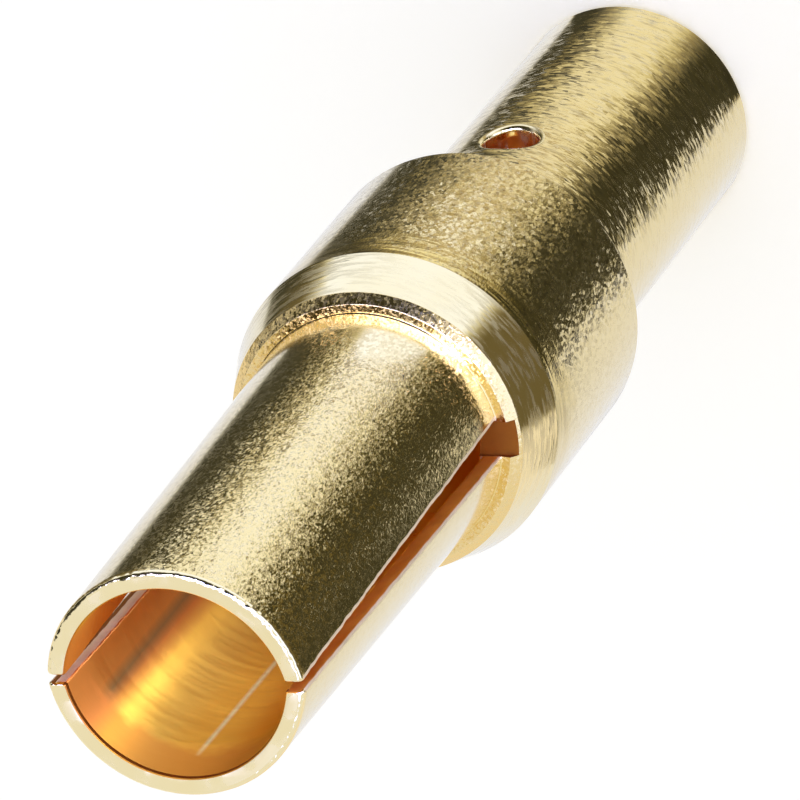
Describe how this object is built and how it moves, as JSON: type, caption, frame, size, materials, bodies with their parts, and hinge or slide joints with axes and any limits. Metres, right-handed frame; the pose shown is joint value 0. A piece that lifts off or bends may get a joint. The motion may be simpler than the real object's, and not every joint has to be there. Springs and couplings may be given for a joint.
{
  "type": "crimp contact",
  "caption": "Turned socket contact with a crimp wire barrel, an inspection hole, a locating collar and a split mating sleeve whose tines lean in to grip a pin.",
  "frame": {"origin": "centre of the open end face of the wire barrel, on the contact's axis", "axes": "+Z along the axis towards the mouth of the mating sleeve, +X through one slot, +Y through the inspection hole"},
  "size_m": [0.004, 0.004, 0.0167],
  "materials": {
    "plating": "pale gold plating with a fine blasted grain, turned lines and polished bands"
  },
  "bodies": {
    "root": {"contact": "plating"}
  },
  "joints": []
}
